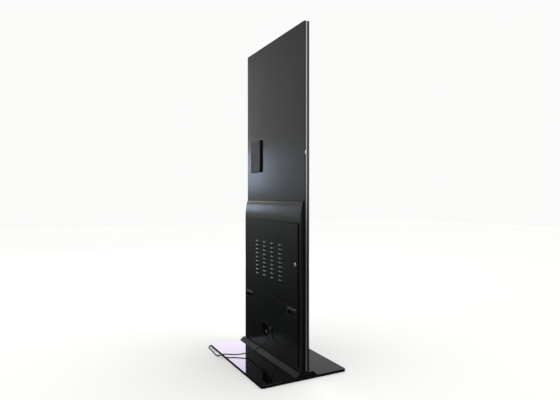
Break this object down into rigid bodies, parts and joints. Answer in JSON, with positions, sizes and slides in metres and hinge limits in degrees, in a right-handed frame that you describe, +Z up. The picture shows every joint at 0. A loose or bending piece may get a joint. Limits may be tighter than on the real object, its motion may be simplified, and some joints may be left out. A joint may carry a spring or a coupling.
{
  "type": "touchscreen kiosk",
  "caption": "Tall slim floor-standing touchscreen kiosk: glass-fronted panel on a flat base, with a louvred, lockable service door, pull handles and a mains lead at the back.",
  "frame": {"origin": "on the floor under the middle of the base plate", "axes": "+Z up; the screen faces -Y and the service door faces +Y; +X is to the right when looking at the screen"},
  "size_m": [0.8745, 0.5495, 1.9],
  "materials": {
    "gloss_black_lacquer": "high gloss",
    "satin_black_paint": "satin powder coat",
    "stand_paint": "matt",
    "zinc_steel": "zinc plated",
    "black_screws": "black oxide",
    "anodised_aluminium": "polished and anodised",
    "screen_glass": "tempered, black border",
    "display_black": "gloss",
    "display_tray": "satin",
    "black_moulding": "fine texture",
    "white_moulding": "satin",
    "black_rubber": "matt",
    "lead_pvc": "satin PVC",
    "plug_brass": "nickel plated",
    "lock_chrome": "polished",
    "circuit_board": "solder mask",
    "equipment_case": "brushed"
  },
  "bodies": {
    "kiosk": {"antenna_cover": "black_moulding", "antenna_screws": "black_screws", "back_cover": "satin_black_paint", "back_cover_screws": "black_screws", "backlight_unit": "display_tray", "base_feet": "black_rubber", "base_plate": "gloss_black_lacquer", "cord_coil": "lead_pvc", "corner_keys": "anodised_aluminium", "door_gasket": "black_rubber", "equipment_plate": "stand_paint", "fan_frame_left": "black_moulding", "fan_frame_right": "black_moulding", "foot_bolts": "zinc_steel", "frame_bottom": "anodised_aluminium", "frame_side_left": "anodised_aluminium", "frame_side_right": "anodised_aluminium", "frame_top": "anodised_aluminium", "front_glass": "screen_glass", "glass_carrier": "stand_paint", "harness_mains": "lead_pvc", "hinge_brackets": "stand_paint", "hinge_pins": "zinc_steel", "housing_screws": "black_screws", "inlet_box": "satin_black_paint", "lcd_brackets": "stand_paint", "lcd_cell": "display_black", "lcd_spacers": "zinc_steel", "lower_panel": "satin_black_paint", "mains_plug": "lead_pvc", "media_player": "equipment_case", "network_socket": "white_moulding", "plinth_cover": "satin_black_paint", "plinth_screws": "black_screws", "plug_pins": "plug_brass", "power_connector": "lead_pvc", "power_cord": "lead_pvc", "power_inlet": "black_moulding", "power_supply": "equipment_case", "pull_handle_left": "black_moulding", "pull_handle_right": "black_moulding", "rear_housing": "satin_black_paint", "receiver_window": "white_moulding", "speaker_left": "black_moulding", "speaker_right": "black_moulding", "stand_frame": "stand_paint", "switch_housing": "black_moulding", "timing_board": "circuit_board", "touch_sensor": "screen_glass", "wifi_antenna": "circuit_board"},
    "door": {"service_door": "satin_black_paint", "hinge_bushes": "white_moulding", "lock_body": "lock_chrome", "lock_nut": "zinc_steel"},
    "lock": {"lock_plug": "lock_chrome", "lock_cam": "zinc_steel", "cam_screw": "zinc_steel"},
    "fan_left": {"fan_rotor_left": "black_moulding"},
    "fan_right": {"fan_rotor_right": "black_moulding"},
    "rocker": {"switch_rocker": "black_moulding"}
  },
  "joints": [
    {"name": "door_swing", "type": "hinge", "parent": "kiosk", "child": "door", "pos_m": [0.3434, 0.017, 0.6035], "axis": [0, 0, -1], "range_deg": [0, 110]},
    {"name": "lock_turn", "type": "hinge", "parent": "door", "child": "lock", "pos_m": [-0.3054, 0.015, 0.5983], "axis": [0, -1, 0], "range_deg": [0, 90]},
    {"name": "fan_left_spin", "type": "hinge", "parent": "kiosk", "child": "fan_left", "pos_m": [0.072, 0.002, 0.64], "axis": [0, 1, 0], "continuous": true},
    {"name": "fan_right_spin", "type": "hinge", "parent": "kiosk", "child": "fan_right", "pos_m": [-0.031, 0.002, 0.64], "axis": [0, 1, 0], "continuous": true},
    {"name": "rocker_press", "type": "hinge", "parent": "kiosk", "child": "rocker", "pos_m": [0.032, 0.003, 0.168], "axis": [0, 0, 1], "range_deg": [0, 20]}
  ]
}
